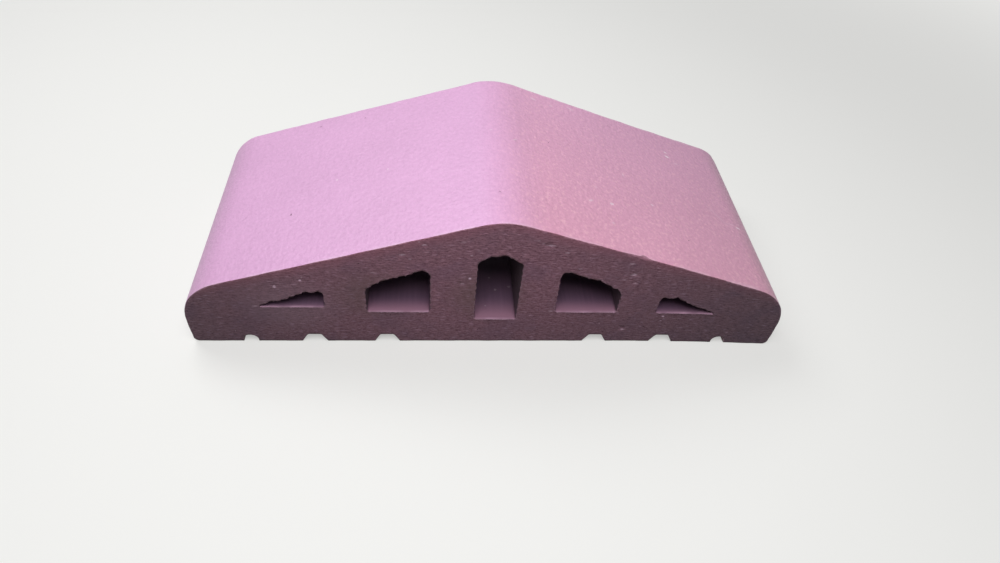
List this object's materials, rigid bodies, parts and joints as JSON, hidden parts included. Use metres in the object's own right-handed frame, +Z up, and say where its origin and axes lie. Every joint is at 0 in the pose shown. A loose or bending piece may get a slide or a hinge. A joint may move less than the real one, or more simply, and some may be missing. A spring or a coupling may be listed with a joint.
{
  "type": "wall coping",
  "caption": "Double-pitched hollow ceramic wall coping with a rounded ridge and eaves, open cells right through, and key and drip grooves under it.",
  "frame": {"origin": "middle of the bedding face, which lies at z = 0", "axes": "+X across the tile from eave to eave, +Y along the ridge, +Z up"},
  "size_m": [0.31, 0.12, 0.086],
  "materials": {
    "fired_clay": "satin purple-brown fired clay skin, matt wire-cut ends"
  },
  "bodies": {
    "root": {"coping_tile": "fired_clay"}
  },
  "joints": []
}
